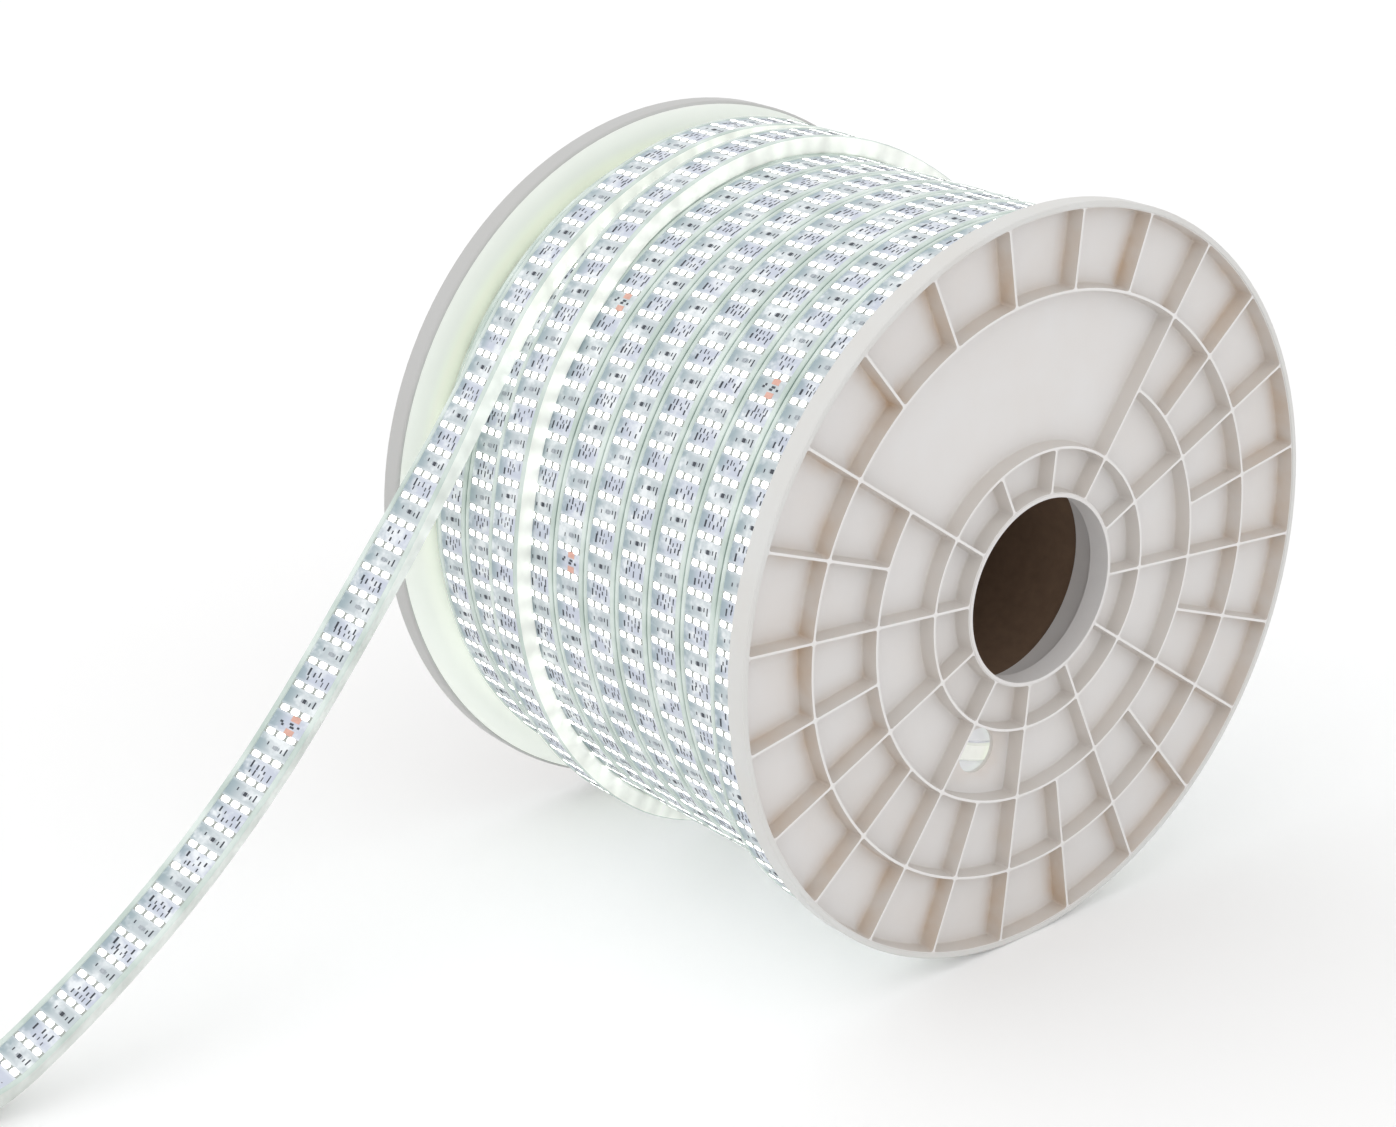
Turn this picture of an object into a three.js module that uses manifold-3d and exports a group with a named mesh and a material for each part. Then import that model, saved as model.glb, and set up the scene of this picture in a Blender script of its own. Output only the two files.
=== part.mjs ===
// LED strip light reel: a flat three-row strip wound in layers on a core tube between two ribbed
// flanges, with one loose turn on top of the full layer and the free end led down to the floor.
//
// Millimetres. X is the reel's axle, +Z is up, and the reel stands on its two rims at Z = 0.
// Angles are in degrees, clockwise from the top, as seen from the +X end.
import * as THREE from 'three';
import { mergeVertices } from 'three/addons/utils/BufferGeometryUtils.js';
import Module from 'manifold-3d';

const wasm = await Module();
wasm.setup();

// Reel
const reelWidth = 210;
const fitGap = 0.3;
const sideGap = 1.0;

// Flange moulding
const flangeRadius = 155;
const flangeThickness = 9.6;
const webThickness = 1.8;
const rimWall = 2.4;
const rimChamfer = 1.2;
const rimFaceChamfer = 0.5;
const innerRingRadius = 58;
const middleRingRadius = 88;
const outerRingRadius = 120.4;
const wallThickness = 1.1;
const wallDraft = 0.4;
const ribSetback = 0.5;
const ribCount = 24;
const firstRibAngle = 5.2;
const panelStartRib = 20;
const panelRibPitches = 6;

// Hub
const boreRadius = 38;
const collarWall = 1.6;
const spigotBoreRadius = 44.2;
const spigotWall = 2.0;
const spigotLength = 13.6;

// Lead hole in the web, where the strip's inner end can be brought out
const leadHoleRadius = 9.5;
const leadHoleDistance = 69.1;
const leadHoleAngle = 201.4;

// Core tube
const coreWall = 5;

// Strip and winding
const stripWidth = 19.2;
const stripThickness = 7.7;
const turnPitch = 19.6;
const layerCount = 12;
const lastTurnAngle = 295;
const lastTurnInset = 11.4;

// Strip end cap
const capLength = 14;
const capWall = 0.7;
const capPocket = 9;

// Facets
const flangeSegments = 48;
const windingSegments = 40;
const holeSegments = 16;
const tailSteps = 44;

// Sizes that follow from the ones above
const ribPitch = 360 / ribCount;
const ribHeight = flangeThickness - ribSetback;
const coreInnerRadius = spigotBoreRadius + spigotWall + fitGap;
const coreOuterRadius = coreInnerRadius + coreWall;
const windingRadius = coreOuterRadius + fitGap + layerCount * stripThickness;
const looseTurnRadius = windingRadius + stripThickness;
const drumRadius = windingRadius - stripThickness;
const flangeInnerFace = reelWidth / 2;
const axleHeight = flangeRadius * Math.cos(Math.PI / flangeSegments);
const windingEnd = flangeInnerFace - sideGap - stripWidth / 2;

// The loose turn's route, from the exit back along the strip: [angle, strip middle from the far flange].
// It lies beside itself for one turn, and behind the reel it slants over to the near flange.
const looseTurnRoute = [
  [303, 33.6], [336, 33.5], [366, 30.5], [420, 30], [480, 37], [540, 56],
  [588, 69], [636, 69.5], [666, 65], [696, 60], [726, 57], [744, 58.5],
];
const slantEndAngle = 926;
const climbStartAngle = 950;

// The free end's route, from the exit to the cap: middle of the strip's thickness.
const tailRoute = [
  [-71.4, -124.4, 235.4], [-71.4, -129.8, 227.1], [-71.5, -135.5, 218.8], [-71.6, -149.9, 198.7],
  [-71.3, -165.5, 179], [-70.3, -181.6, 159.9], [-68.5, -198.4, 141.4], [-65.8, -215.7, 123.7],
  [-62.4, -233.7, 106.8], [-58.6, -252.5, 90.8], [-54.8, -272.1, 76], [-51, -292.6, 62],
  [-47.6, -313.8, 48.8], [-44.8, -335.4, 36.3], [-42.7, -357, 24.7], [-41.3, -375, 15.8],
  [-40.4, -392, 9.3], [-40, -408, 5.8], [-40, -424, 4.9], [-40, -440, 4.9], [-40, -455, 4.9],
];

const radians = THREE.MathUtils.degToRad;

// A closed geometry as a solid, with its faces turned outwards
function solid(geometry) {
  const bare = geometry.clone();
  bare.deleteAttribute('normal');
  bare.deleteAttribute('uv');
  const merged = mergeVertices(bare, 1e-4);
  const points = merged.attributes.position.array;
  const corners = Uint32Array.from(merged.index.array);
  const at = (i) => new THREE.Vector3().fromArray(points, 3 * i);
  let volume = 0;
  for (let i = 0; i < corners.length; i += 3) {
    volume += at(corners[i]).dot(at(corners[i + 1]).cross(at(corners[i + 2])));
  }
  if (volume < 0) {
    for (let i = 0; i < corners.length; i += 3) {
      [corners[i + 1], corners[i + 2]] = [corners[i + 2], corners[i + 1]];
    }
  }
  return new wasm.Manifold(new wasm.Mesh({ numProp: 3, vertProperties: Float32Array.from(points), triVerts: corners }));
}

function geometryOf(body) {
  const mesh = body.getMesh();
  const geometry = new THREE.BufferGeometry();
  geometry.setAttribute('position', new THREE.BufferAttribute(Float32Array.from(mesh.vertProperties), 3));
  geometry.setIndex(new THREE.BufferAttribute(Uint32Array.from(mesh.triVerts), 1));
  return geometry;
}

// A closed profile of [radius, x] points turned round the axle. A facet lies flat at the bottom.
function turned(profile, segments) {
  const loop = [...profile, profile[0]].map(([radius, x]) => new THREE.Vector2(radius, x));
  const geometry = new THREE.LatheGeometry(loop, segments, Math.PI / segments);
  return geometry.rotateZ(-Math.PI / 2);
}

// A wall's [radius, x] points in a flange profile, narrower at its top than at its root
function wallProfile(middle) {
  const half = wallThickness / 2;
  return [
    [middle - half - wallDraft, webThickness],
    [middle - half, ribHeight],
    [middle + half, ribHeight],
    [middle + half + wallDraft, webThickness],
  ];
}

// Web, rim, two full ring walls, collar and spigot in one profile, inner face at x = 0
function flangeBody() {
  const profile = [
    [boreRadius, flangeThickness],
    [boreRadius + collarWall, flangeThickness],
    [boreRadius + collarWall + wallDraft, webThickness],
    ...wallProfile(innerRingRadius),
    ...wallProfile(outerRingRadius),
    [flangeRadius - rimWall - wallDraft, webThickness],
    [flangeRadius - rimWall, flangeThickness],
    [flangeRadius - rimFaceChamfer, flangeThickness],
    [flangeRadius, flangeThickness - rimFaceChamfer],
    [flangeRadius, rimChamfer],
    [flangeRadius - rimChamfer, 0],
    [spigotBoreRadius + spigotWall, 0],
    [spigotBoreRadius + spigotWall, -spigotLength],
    [spigotBoreRadius, -spigotLength],
    [spigotBoreRadius, 0],
    [boreRadius, 0],
  ];
  return solid(turned(profile, flangeSegments));
}

// The middle ring wall stops at the label panel, so it is an arc
function middleRing() {
  const panelStart = firstRibAngle + panelStartRib * ribPitch;
  const from = radians(90 - panelStart);
  const to = radians(90 - (panelStart + panelRibPitches * ribPitch));
  const outer = middleRingRadius + wallThickness / 2;
  const inner = middleRingRadius - wallThickness / 2;
  const shape = new THREE.Shape();
  shape.absarc(0, 0, outer, from, to, false);
  shape.absarc(0, 0, inner, to, from, true);
  const geometry = new THREE.ExtrudeGeometry(shape, {
    depth: ribHeight - webThickness / 2,
    bevelEnabled: false,
    curveSegments: (flangeSegments * 3) / 4,
  });
  geometry.rotateY(Math.PI / 2).rotateX(Math.PI / 2);
  geometry.scale(1, -1, 1);
  return solid(geometry.translate(webThickness / 2, 0, 0));
}

// A radial rib between two distances from the axle, with a moulded taper
function rib(angle, from, to) {
  const half = wallThickness / 2;
  const root = half + wallDraft;
  const section = new THREE.Shape([
    new THREE.Vector2(-root, webThickness / 2),
    new THREE.Vector2(root, webThickness / 2),
    new THREE.Vector2(half, ribHeight),
    new THREE.Vector2(-half, ribHeight),
  ]);
  const geometry = new THREE.ExtrudeGeometry(section, { depth: to - from, bevelEnabled: false });
  geometry.translate(0, 0, from);
  geometry.rotateZ(-Math.PI / 2);
  return solid(geometry.rotateX(-radians(angle)));
}

// Where each rib starts: at the collar, at the middle ring or at the panel's outer edge
function ribSpans(index) {
  const outside = flangeRadius - rimWall / 2;
  const stepsIntoPanel = (index - panelStartRib + ribCount) % ribCount;
  const inPanel = stepsIntoPanel > 0 && stepsIntoPanel < panelRibPitches;
  const isMain = index % 2 === 0;
  const hubSpan = [boreRadius + collarWall / 2, innerRingRadius];
  if (inPanel) {
    return isMain ? [hubSpan, [outerRingRadius, outside]] : [[outerRingRadius, outside]];
  }
  return isMain ? [[hubSpan[0], outside]] : [[middleRingRadius, outside]];
}

function flangeMoulding() {
  let body = flangeBody().add(middleRing());
  for (let index = 0; index < ribCount; index += 1) {
    for (const [from, to] of ribSpans(index)) {
      body = body.add(rib(firstRibAngle + index * ribPitch, from, to));
    }
  }
  const hole = new THREE.CylinderGeometry(leadHoleRadius, leadHoleRadius, 3 * webThickness, holeSegments);
  hole.rotateZ(Math.PI / 2).translate(0, 0, leadHoleDistance).rotateX(-radians(leadHoleAngle));
  return geometryOf(body.subtract(solid(hole)));
}

// A flat strip laid round the axle. Each station is [angle, x of the strip's middle, outer radius].
function laidStrip(stations, innerRadius) {
  const half = stripWidth / 2;
  const corners = [];
  for (const [angle, x, outerRadius] of stations) {
    const y = Math.sin(radians(angle));
    const z = Math.cos(radians(angle));
    for (const [side, radius] of [[-half, innerRadius], [half, innerRadius], [half, outerRadius], [-half, outerRadius]]) {
      corners.push(x + side, radius * y, radius * z);
    }
  }
  const faces = [0, 1, 2, 0, 2, 3];
  for (let i = 0; i < stations.length - 1; i += 1) {
    for (let side = 0; side < 4; side += 1) {
      const a = 4 * i + side;
      const b = 4 * i + ((side + 1) % 4);
      faces.push(b, a, a + 4, b, a + 4, b + 4);
    }
  }
  const last = 4 * (stations.length - 1);
  faces.push(last, last + 2, last + 1, last, last + 3, last + 2);
  const geometry = new THREE.BufferGeometry();
  geometry.setAttribute('position', new THREE.BufferAttribute(Float32Array.from(corners), 3));
  geometry.setIndex(faces);
  return solid(geometry);
}

// Strip middle of the full layer at an angle counted on from the last turn
function layerX(angle) {
  const lastTurnMiddle = flangeInnerFace - lastTurnInset;
  return lastTurnMiddle - (turnPitch * (angle - lastTurnAngle)) / 360;
}

const stationStep = 360 / windingSegments;

function fullLayer() {
  const angleAt = (x) => lastTurnAngle + (360 * (layerX(lastTurnAngle) - x)) / turnPitch;
  const first = Math.ceil(angleAt(windingEnd) / stationStep);
  const last = Math.floor(angleAt(-windingEnd) / stationStep);
  const stations = [];
  for (let i = first; i <= last; i += 1) {
    stations.push([i * stationStep, layerX(i * stationStep), windingRadius]);
  }
  return laidStrip(stations, drumRadius - stripThickness / 4);
}

// Strip middle of the loose turn: along its route, then the slant to the near flange
function looseTurnX(angle) {
  const [routeEndAngle, routeEndInset] = looseTurnRoute[looseTurnRoute.length - 1];
  if (angle >= routeEndAngle) {
    const t = Math.min(1, (angle - routeEndAngle) / (slantEndAngle - routeEndAngle));
    return THREE.MathUtils.lerp(routeEndInset - flangeInnerFace, windingEnd, t * t * (3 - 2 * t));
  }
  const next = looseTurnRoute.findIndex(([stop]) => stop > angle);
  const [fromAngle, fromInset] = looseTurnRoute[next - 1];
  const [toAngle, toInset] = looseTurnRoute[next];
  const t = (angle - fromAngle) / (toAngle - fromAngle);
  return THREE.MathUtils.lerp(fromInset, toInset, t) - flangeInnerFace;
}

function looseTurn() {
  const exitAngle = looseTurnRoute[0][0];
  const layerStart = 360 * 2 + lastTurnAngle + (360 * (layerX(lastTurnAngle) - windingEnd)) / turnPitch;
  const angles = [exitAngle];
  const firstStation = Math.floor(exitAngle / stationStep) + 1;
  const lastStation = Math.floor(layerStart / stationStep);
  for (let i = firstStation; i <= lastStation; i += 1) {
    angles.push(i * stationStep);
  }
  const stations = angles.map((angle) => {
    const climb = THREE.MathUtils.smoothstep(angle, climbStartAngle, layerStart);
    return [angle, looseTurnX(angle), THREE.MathUtils.lerp(looseTurnRadius, windingRadius + fitGap, climb)];
  });
  return laidStrip(stations, drumRadius - stripThickness / 4);
}

function winding() {
  const inner = coreOuterRadius + fitGap;
  const side = flangeInnerFace - sideGap;
  const drum = turned([[inner, -side], [drumRadius, -side], [drumRadius, side], [inner, side]], windingSegments);
  drum.rotateX(Math.PI / windingSegments);
  return geometryOf(solid(drum).add(fullLayer()).add(looseTurn()));
}

function coreTube() {
  const half = flangeInnerFace - fitGap;
  return turned([
    [coreInnerRadius, -half], [coreOuterRadius, -half], [coreOuterRadius, half], [coreInnerRadius, half],
  ], flangeSegments);
}

// The strip's outline with its edges cut off at 45 degrees
function stripSection(width, thickness, cut) {
  const w = width / 2;
  const t = thickness / 2;
  return new THREE.Shape([
    [w, t - cut], [w - cut, t], [cut - w, t], [-w, t - cut], [-w, cut - t], [cut - w, -t], [w - cut, -t], [w, cut - t],
  ].map(([x, y]) => new THREE.Vector2(x, y)));
}

const tailThickness = stripThickness - 2 * fitGap;
const tailEdgeCut = 1;

// Section frames along the free end: the strip's width stays level all the way, so it doesn't twist
function levelFrames(path, steps) {
  const frames = { tangents: [], normals: [], binormals: [] };
  const up = new THREE.Vector3(0, 0, 1);
  for (let i = 0; i <= steps; i += 1) {
    const tangent = path.getTangentAt(i / steps);
    const normal = tangent.clone().cross(up).normalize();
    frames.tangents.push(tangent);
    frames.normals.push(normal);
    frames.binormals.push(tangent.clone().cross(normal));
  }
  return frames;
}

function tail() {
  const path = new THREE.CatmullRomCurve3(tailRoute.map((point) => new THREE.Vector3(...point)), false, 'centripetal');
  path.computeFrenetFrames = (steps) => levelFrames(path, steps);
  const section = stripSection(stripWidth, tailThickness, tailEdgeCut);
  return new THREE.ExtrudeGeometry(section, { steps: tailSteps, extrudePath: path });
}

// A cap that sleeves over the end of the strip, with its open end towards the reel
function endCap() {
  const wall = 2 * (fitGap + capWall);
  const outer = new THREE.ExtrudeGeometry(
    stripSection(stripWidth + wall, tailThickness + wall, tailEdgeCut + capWall),
    { depth: capLength, bevelEnabled: false },
  );
  const pocket = new THREE.ExtrudeGeometry(
    stripSection(stripWidth + 2 * fitGap, tailThickness + 2 * fitGap, tailEdgeCut),
    { depth: 2 * (capPocket + fitGap), bevelEnabled: false },
  );
  pocket.translate(0, 0, -(capPocket + fitGap));
  const cap = geometryOf(solid(outer).subtract(solid(pocket)));
  return cap.rotateX(Math.PI / 2);
}

function named(name, geometry, color, roughness) {
  const mesh = new THREE.Mesh(geometry, new THREE.MeshStandardMaterial({ color, roughness, metalness: 0 }));
  mesh.name = name;
  return mesh;
}

const reel = new THREE.Group();
reel.position.z = axleHeight;

const moulding = flangeMoulding();
const nearFlange = named('near_flange', moulding, 0xd9d5d1, 0.5);
nearFlange.position.x = flangeInnerFace;
const farFlange = named('far_flange', moulding, 0xd9d5d1, 0.5);
farFlange.position.x = -flangeInnerFace;
farFlange.rotation.z = Math.PI;
reel.add(nearFlange, farFlange);
reel.add(named('core_tube', coreTube(), 0x4a3a2c, 0.9));
reel.add(named('led_strip_winding', winding(), 0xdcebe4, 0.25));

const part = new THREE.Group();
part.add(reel);
part.add(named('strip_tail', tail(), 0xdcebe4, 0.25));
const cap = named('strip_end_cap', endCap(), 0xe9efec, 0.4);
const tailEnd = tailRoute[tailRoute.length - 1];
cap.position.set(tailEnd[0], tailEnd[1] + capPocket, tailEnd[2]);
part.add(cap);

export default part;
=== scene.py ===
# %% [markdown]
# # A reel of LED strip light
#
# A flat strip with three LEDs in each row, in a clear jacket, is wound on a white moulded reel.
# One loose turn lies on top of the full layer, and the free end runs down to the floor.
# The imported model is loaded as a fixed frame, and every piece here is laid on it in metres.

# %% Tools and the frame
import bisect
import math
import random

import bpy
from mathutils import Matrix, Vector
from mathutils.geometry import tessellate_polygon


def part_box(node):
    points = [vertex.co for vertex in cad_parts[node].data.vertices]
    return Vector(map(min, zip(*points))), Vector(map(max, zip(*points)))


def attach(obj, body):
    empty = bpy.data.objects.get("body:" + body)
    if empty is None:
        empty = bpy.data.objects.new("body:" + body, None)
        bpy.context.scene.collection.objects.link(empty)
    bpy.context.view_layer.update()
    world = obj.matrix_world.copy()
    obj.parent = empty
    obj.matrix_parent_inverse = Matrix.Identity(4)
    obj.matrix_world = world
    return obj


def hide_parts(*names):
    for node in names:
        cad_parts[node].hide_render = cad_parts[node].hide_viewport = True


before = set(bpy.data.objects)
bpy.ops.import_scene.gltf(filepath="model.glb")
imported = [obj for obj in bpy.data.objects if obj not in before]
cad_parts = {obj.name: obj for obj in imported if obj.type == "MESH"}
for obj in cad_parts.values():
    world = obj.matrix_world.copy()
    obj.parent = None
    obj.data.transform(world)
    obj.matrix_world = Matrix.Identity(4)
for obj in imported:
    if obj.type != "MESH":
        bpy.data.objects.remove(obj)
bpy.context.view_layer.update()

# %% [markdown]
# ## Sizes
#
# The reel's own sizes come from the frame's boxes. The strip is a common three-row type, so its row
# pitch, board and chip sizes are the usual ones in millimetres.

# %% Sizes of the reel and the strip
MM = 0.001
flange_low, flange_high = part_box("near_flange")
core_low, core_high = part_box("core_tube")
AXLE = (flange_low[2] + flange_high[2]) / 2
FLANGE_RADIUS = AXLE
FLANGE_THICKNESS = 9.6 * MM
INNER_FACE = flange_high[0] - FLANGE_THICKNESS
CORE_RADIUS = (core_high[2] - core_low[2]) / 2
CORE_GAP = 0.3 * MM

STRIP_WIDTH = 19.2 * MM
STRIP_THICKNESS = 7.7 * MM
TURN_PITCH = 19.6 * MM
LAYER_COUNT = 12
SIDE_GAP = 1.0 * MM
LAYER_RADIUS = CORE_RADIUS + CORE_GAP + LAYER_COUNT * STRIP_THICKNESS
LOOSE_RADIUS = LAYER_RADIUS + STRIP_THICKNESS
WALL_X = INNER_FACE - SIDE_GAP - STRIP_WIDTH / 2
ROW_PITCH = 10.83 * MM
FIRST_ROW = ROW_PITCH / 2
LED_LENGTH = 2.55 * MM
LED_WIDTH = 3.45 * MM
LED_CORNER = 0.6 * MM
LED_SPACING = 4.65 * MM
WINDOW_DEPTH = 0.4 * MM
BOARD_HEIGHT = STRIP_THICKNESS / 2 - WINDOW_DEPTH
print("axle height", round(AXLE, 4), "layer radius", round(LAYER_RADIUS, 4))

# %% [markdown]
# ## Camera
#
# The camera comes first, because the free end's route is judged against it. Its place and lens
# were solved from the two flanges' circles, so the reel falls where the photograph has it.

# %% Camera
camera_data = bpy.data.cameras.new("camera")
camera_data.sensor_width = 36
camera_data.sensor_fit = "HORIZONTAL"
camera_data.lens = 72.48
camera_data.clip_end = 50
camera = bpy.data.objects.new("camera", camera_data)
camera.location = (0.8079, -0.7556, 0.5775)
camera_aim = Vector((-0.71104, 0.59479, -0.37502))
camera.rotation_euler = camera_aim.to_track_quat("-Z", "Y").to_euler()
bpy.context.scene.collection.objects.link(camera)
bpy.context.scene.camera = camera
print("camera stands", round(camera.location.length, 3), "m from the reel's foot")

# %% [markdown]
# ## Small helpers
#
# A mesh is made from plain lists of corners and faces. Each face names its material slot, and each
# corner may carry a place on the strip (rows along it, millimetres across it) that its finish reads.

# %% Helpers for meshes
SHARP_DEGREES = 38


def make_object(name, corners, faces, materials, slots=None, places=None, sharp_degrees=SHARP_DEGREES):
    mesh = bpy.data.meshes.new(name)
    mesh.from_pydata(corners, [], faces)
    for material in materials:
        mesh.materials.append(material)
    if slots:
        mesh.polygons.foreach_set("material_index", slots)
    if places:
        layer = mesh.uv_layers.new(name="place")
        for loop in mesh.loops:
            layer.data[loop.index].uv = places[loop.vertex_index]
    mesh.polygons.foreach_set("use_smooth", [True] * len(mesh.polygons))
    mesh.update()
    mesh.set_sharp_from_angle(angle=math.radians(sharp_degrees))
    piece = bpy.data.objects.new(name, mesh)
    bpy.context.scene.collection.objects.link(piece)
    return piece


def belongs(piece, slot_name, *nodes):
    """Every piece rides on the one body, and may replace nodes of the frame."""
    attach(piece, "root")
    if nodes:
        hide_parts(*nodes)
    print(piece.name, len(piece.data.polygons), "faces")


# %% Helpers for materials
def linear(hex_colour):
    channels = [int(hex_colour[i:i + 2], 16) / 255 for i in (0, 2, 4)]
    return [c / 12.92 if c <= 0.04045 else ((c + 0.055) / 1.055) ** 2.4 for c in channels] + [1.0]


def add_node(tree, kind, settings=None, inputs=None):
    node = tree.nodes.new(kind)
    for name, value in (settings or {}).items():
        setattr(node, name, value)
    for name, value in (inputs or {}).items():
        if isinstance(value, bpy.types.NodeSocket):
            tree.links.new(value, node.inputs[name])
        else:
            node.inputs[name].default_value = value
    return node


def new_material(name):
    material = bpy.data.materials.new(name)
    material.use_nodes = True
    tree = material.node_tree
    return material, tree, tree.nodes["Principled BSDF"]


# %% [markdown]
# ## Finishes
#
# The flanges are injection-moulded polypropylene: an off-white, slightly satin plastic with cloudy
# flow marks. The walls of the pockets are painted greyer than the rest, as painted shade. A faint tan in
# the corners stands for dust and age together with painted shade, and the tops of the ribs are painted
# paler, as a painted highlight. The mesh marks these with values of its own ("wall" on a wall, "corner"
# above zero in a corner and below zero on a top), so they stay where they are from every side. The rims
# are painted a plainer grey-white, and the far rim greyer still, both as painted shade.

# %% Moulded polypropylene
CLOUD_SIZE = 38 * MM
DUST_AND_SHADE_PATCH_SIZE = 14 * MM
MOULD_GRAIN_SIZE = 0.9 * MM
MOULD_GRAIN_DEPTH = 0.1 * MM


def moulded_polypropylene(name, plain_hex, wall_shade_hex, tan_hex, top_highlight_hex):
    material, tree, shader = new_material(name)
    place = add_node(tree, "ShaderNodeTexCoord")
    clouds = add_node(tree, "ShaderNodeTexNoise", inputs={
        "Vector": place.outputs["Object"], "Scale": 1 / CLOUD_SIZE, "Detail": 5.0, "Roughness": 0.6})
    cloud_amount = add_node(tree, "ShaderNodeMapRange", inputs={
        "Value": clouds.outputs["Fac"], "From Min": 0.35, "From Max": 0.7, "To Min": 0.0, "To Max": 0.1})
    # The corner value holds dust with painted shade above zero and a painted highlight below zero.
    corner = add_node(tree, "ShaderNodeAttribute", {"attribute_name": "corner"})
    patchy = add_node(tree, "ShaderNodeTexNoise", inputs={
        "Vector": place.outputs["Object"], "Scale": 1 / DUST_AND_SHADE_PATCH_SIZE, "Detail": 3.0})
    in_corner = add_node(tree, "ShaderNodeMath", {"operation": "MAXIMUM"}, {0: corner.outputs["Fac"], 1: 0.0})
    patch_amount = add_node(tree, "ShaderNodeMapRange", inputs={
        "Value": patchy.outputs["Fac"], "From Min": 0.3, "From Max": 0.7, "To Min": 0.25, "To Max": 1.0})
    corner_amount = add_node(tree, "ShaderNodeMath", {"operation": "MULTIPLY"}, {
        0: in_corner.outputs[0], 1: patch_amount.outputs[0]})
    tint_amount = add_node(tree, "ShaderNodeMath", {"operation": "ADD", "use_clamp": True}, {
        0: corner_amount.outputs[0], 1: cloud_amount.outputs[0]})
    # The walls are painted greyer: painted shade on the pocket walls.
    wall = add_node(tree, "ShaderNodeAttribute", {"attribute_name": "wall"})
    wall_shaded = add_node(tree, "ShaderNodeMix", {"data_type": "RGBA"}, {
        "Factor": wall.outputs["Fac"], 6: linear(plain_hex), 7: linear(wall_shade_hex)})
    tinted = add_node(tree, "ShaderNodeMix", {"data_type": "RGBA"}, {
        "Factor": tint_amount.outputs[0], 6: wall_shaded.outputs[2], 7: linear(tan_hex)})
    # The rib tops are painted paler: a painted highlight.
    on_top = add_node(tree, "ShaderNodeMath", {"operation": "MULTIPLY", "use_clamp": True}, {
        0: corner.outputs["Fac"], 1: -1.0})
    colour = add_node(tree, "ShaderNodeMix", {"data_type": "RGBA"}, {
        "Factor": on_top.outputs[0], 6: tinted.outputs[2], 7: linear(top_highlight_hex)})
    tree.links.new(colour.outputs[2], shader.inputs["Base Color"])
    grain = add_node(tree, "ShaderNodeTexNoise", inputs={
        "Vector": place.outputs["Object"], "Scale": 1 / MOULD_GRAIN_SIZE, "Detail": 2.0})
    bump = add_node(tree, "ShaderNodeBump", inputs={
        "Height": grain.outputs["Fac"], "Strength": 0.12, "Distance": MOULD_GRAIN_DEPTH})
    tree.links.new(bump.outputs[0], shader.inputs["Normal"])
    shader.inputs["Roughness"].default_value = 0.42
    shader.inputs["IOR"].default_value = 1.49
    return material


# The rims' greyer colours are painted shade, deeper on the far rim.
rim_plastic = moulded_polypropylene("shade_painted_rim_polypropylene", "D8D8D6", "CFCBC7", "C3AA90", "F6F4F2")
flange_plastic = moulded_polypropylene("moulded_polypropylene", "E0DEDD", "D3CFCB", "C6AE96", "F8F6F4")
far_rim_shade_plastic = moulded_polypropylene("deep_shade_painted_rim_polypropylene", "BEBEBD", "B0AEAA", "AEA69B", "D0D0CF")
print("flange finishes", rim_plastic.name, flange_plastic.name, far_rim_shade_plastic.name)

# %% [markdown]
# Polypropylene lets light through a little. The flanges' inner faces, washed by the lit strip, get a painted
# glow of pale greenish white, stronger low down, where the floor sends light back, and a little stronger
# close to the winding. Close to the winding they are also painted yellower, most of all above the axle, as
# painted shade.

# %% Polypropylene lit by the strip
CLOSE_BELOW = 5 * MM
CLOSE_ABOVE = 2.5 * MM
SHADE_TINT_FADE = 100 * MM
GLOW_FADE = 120 * MM


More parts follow.
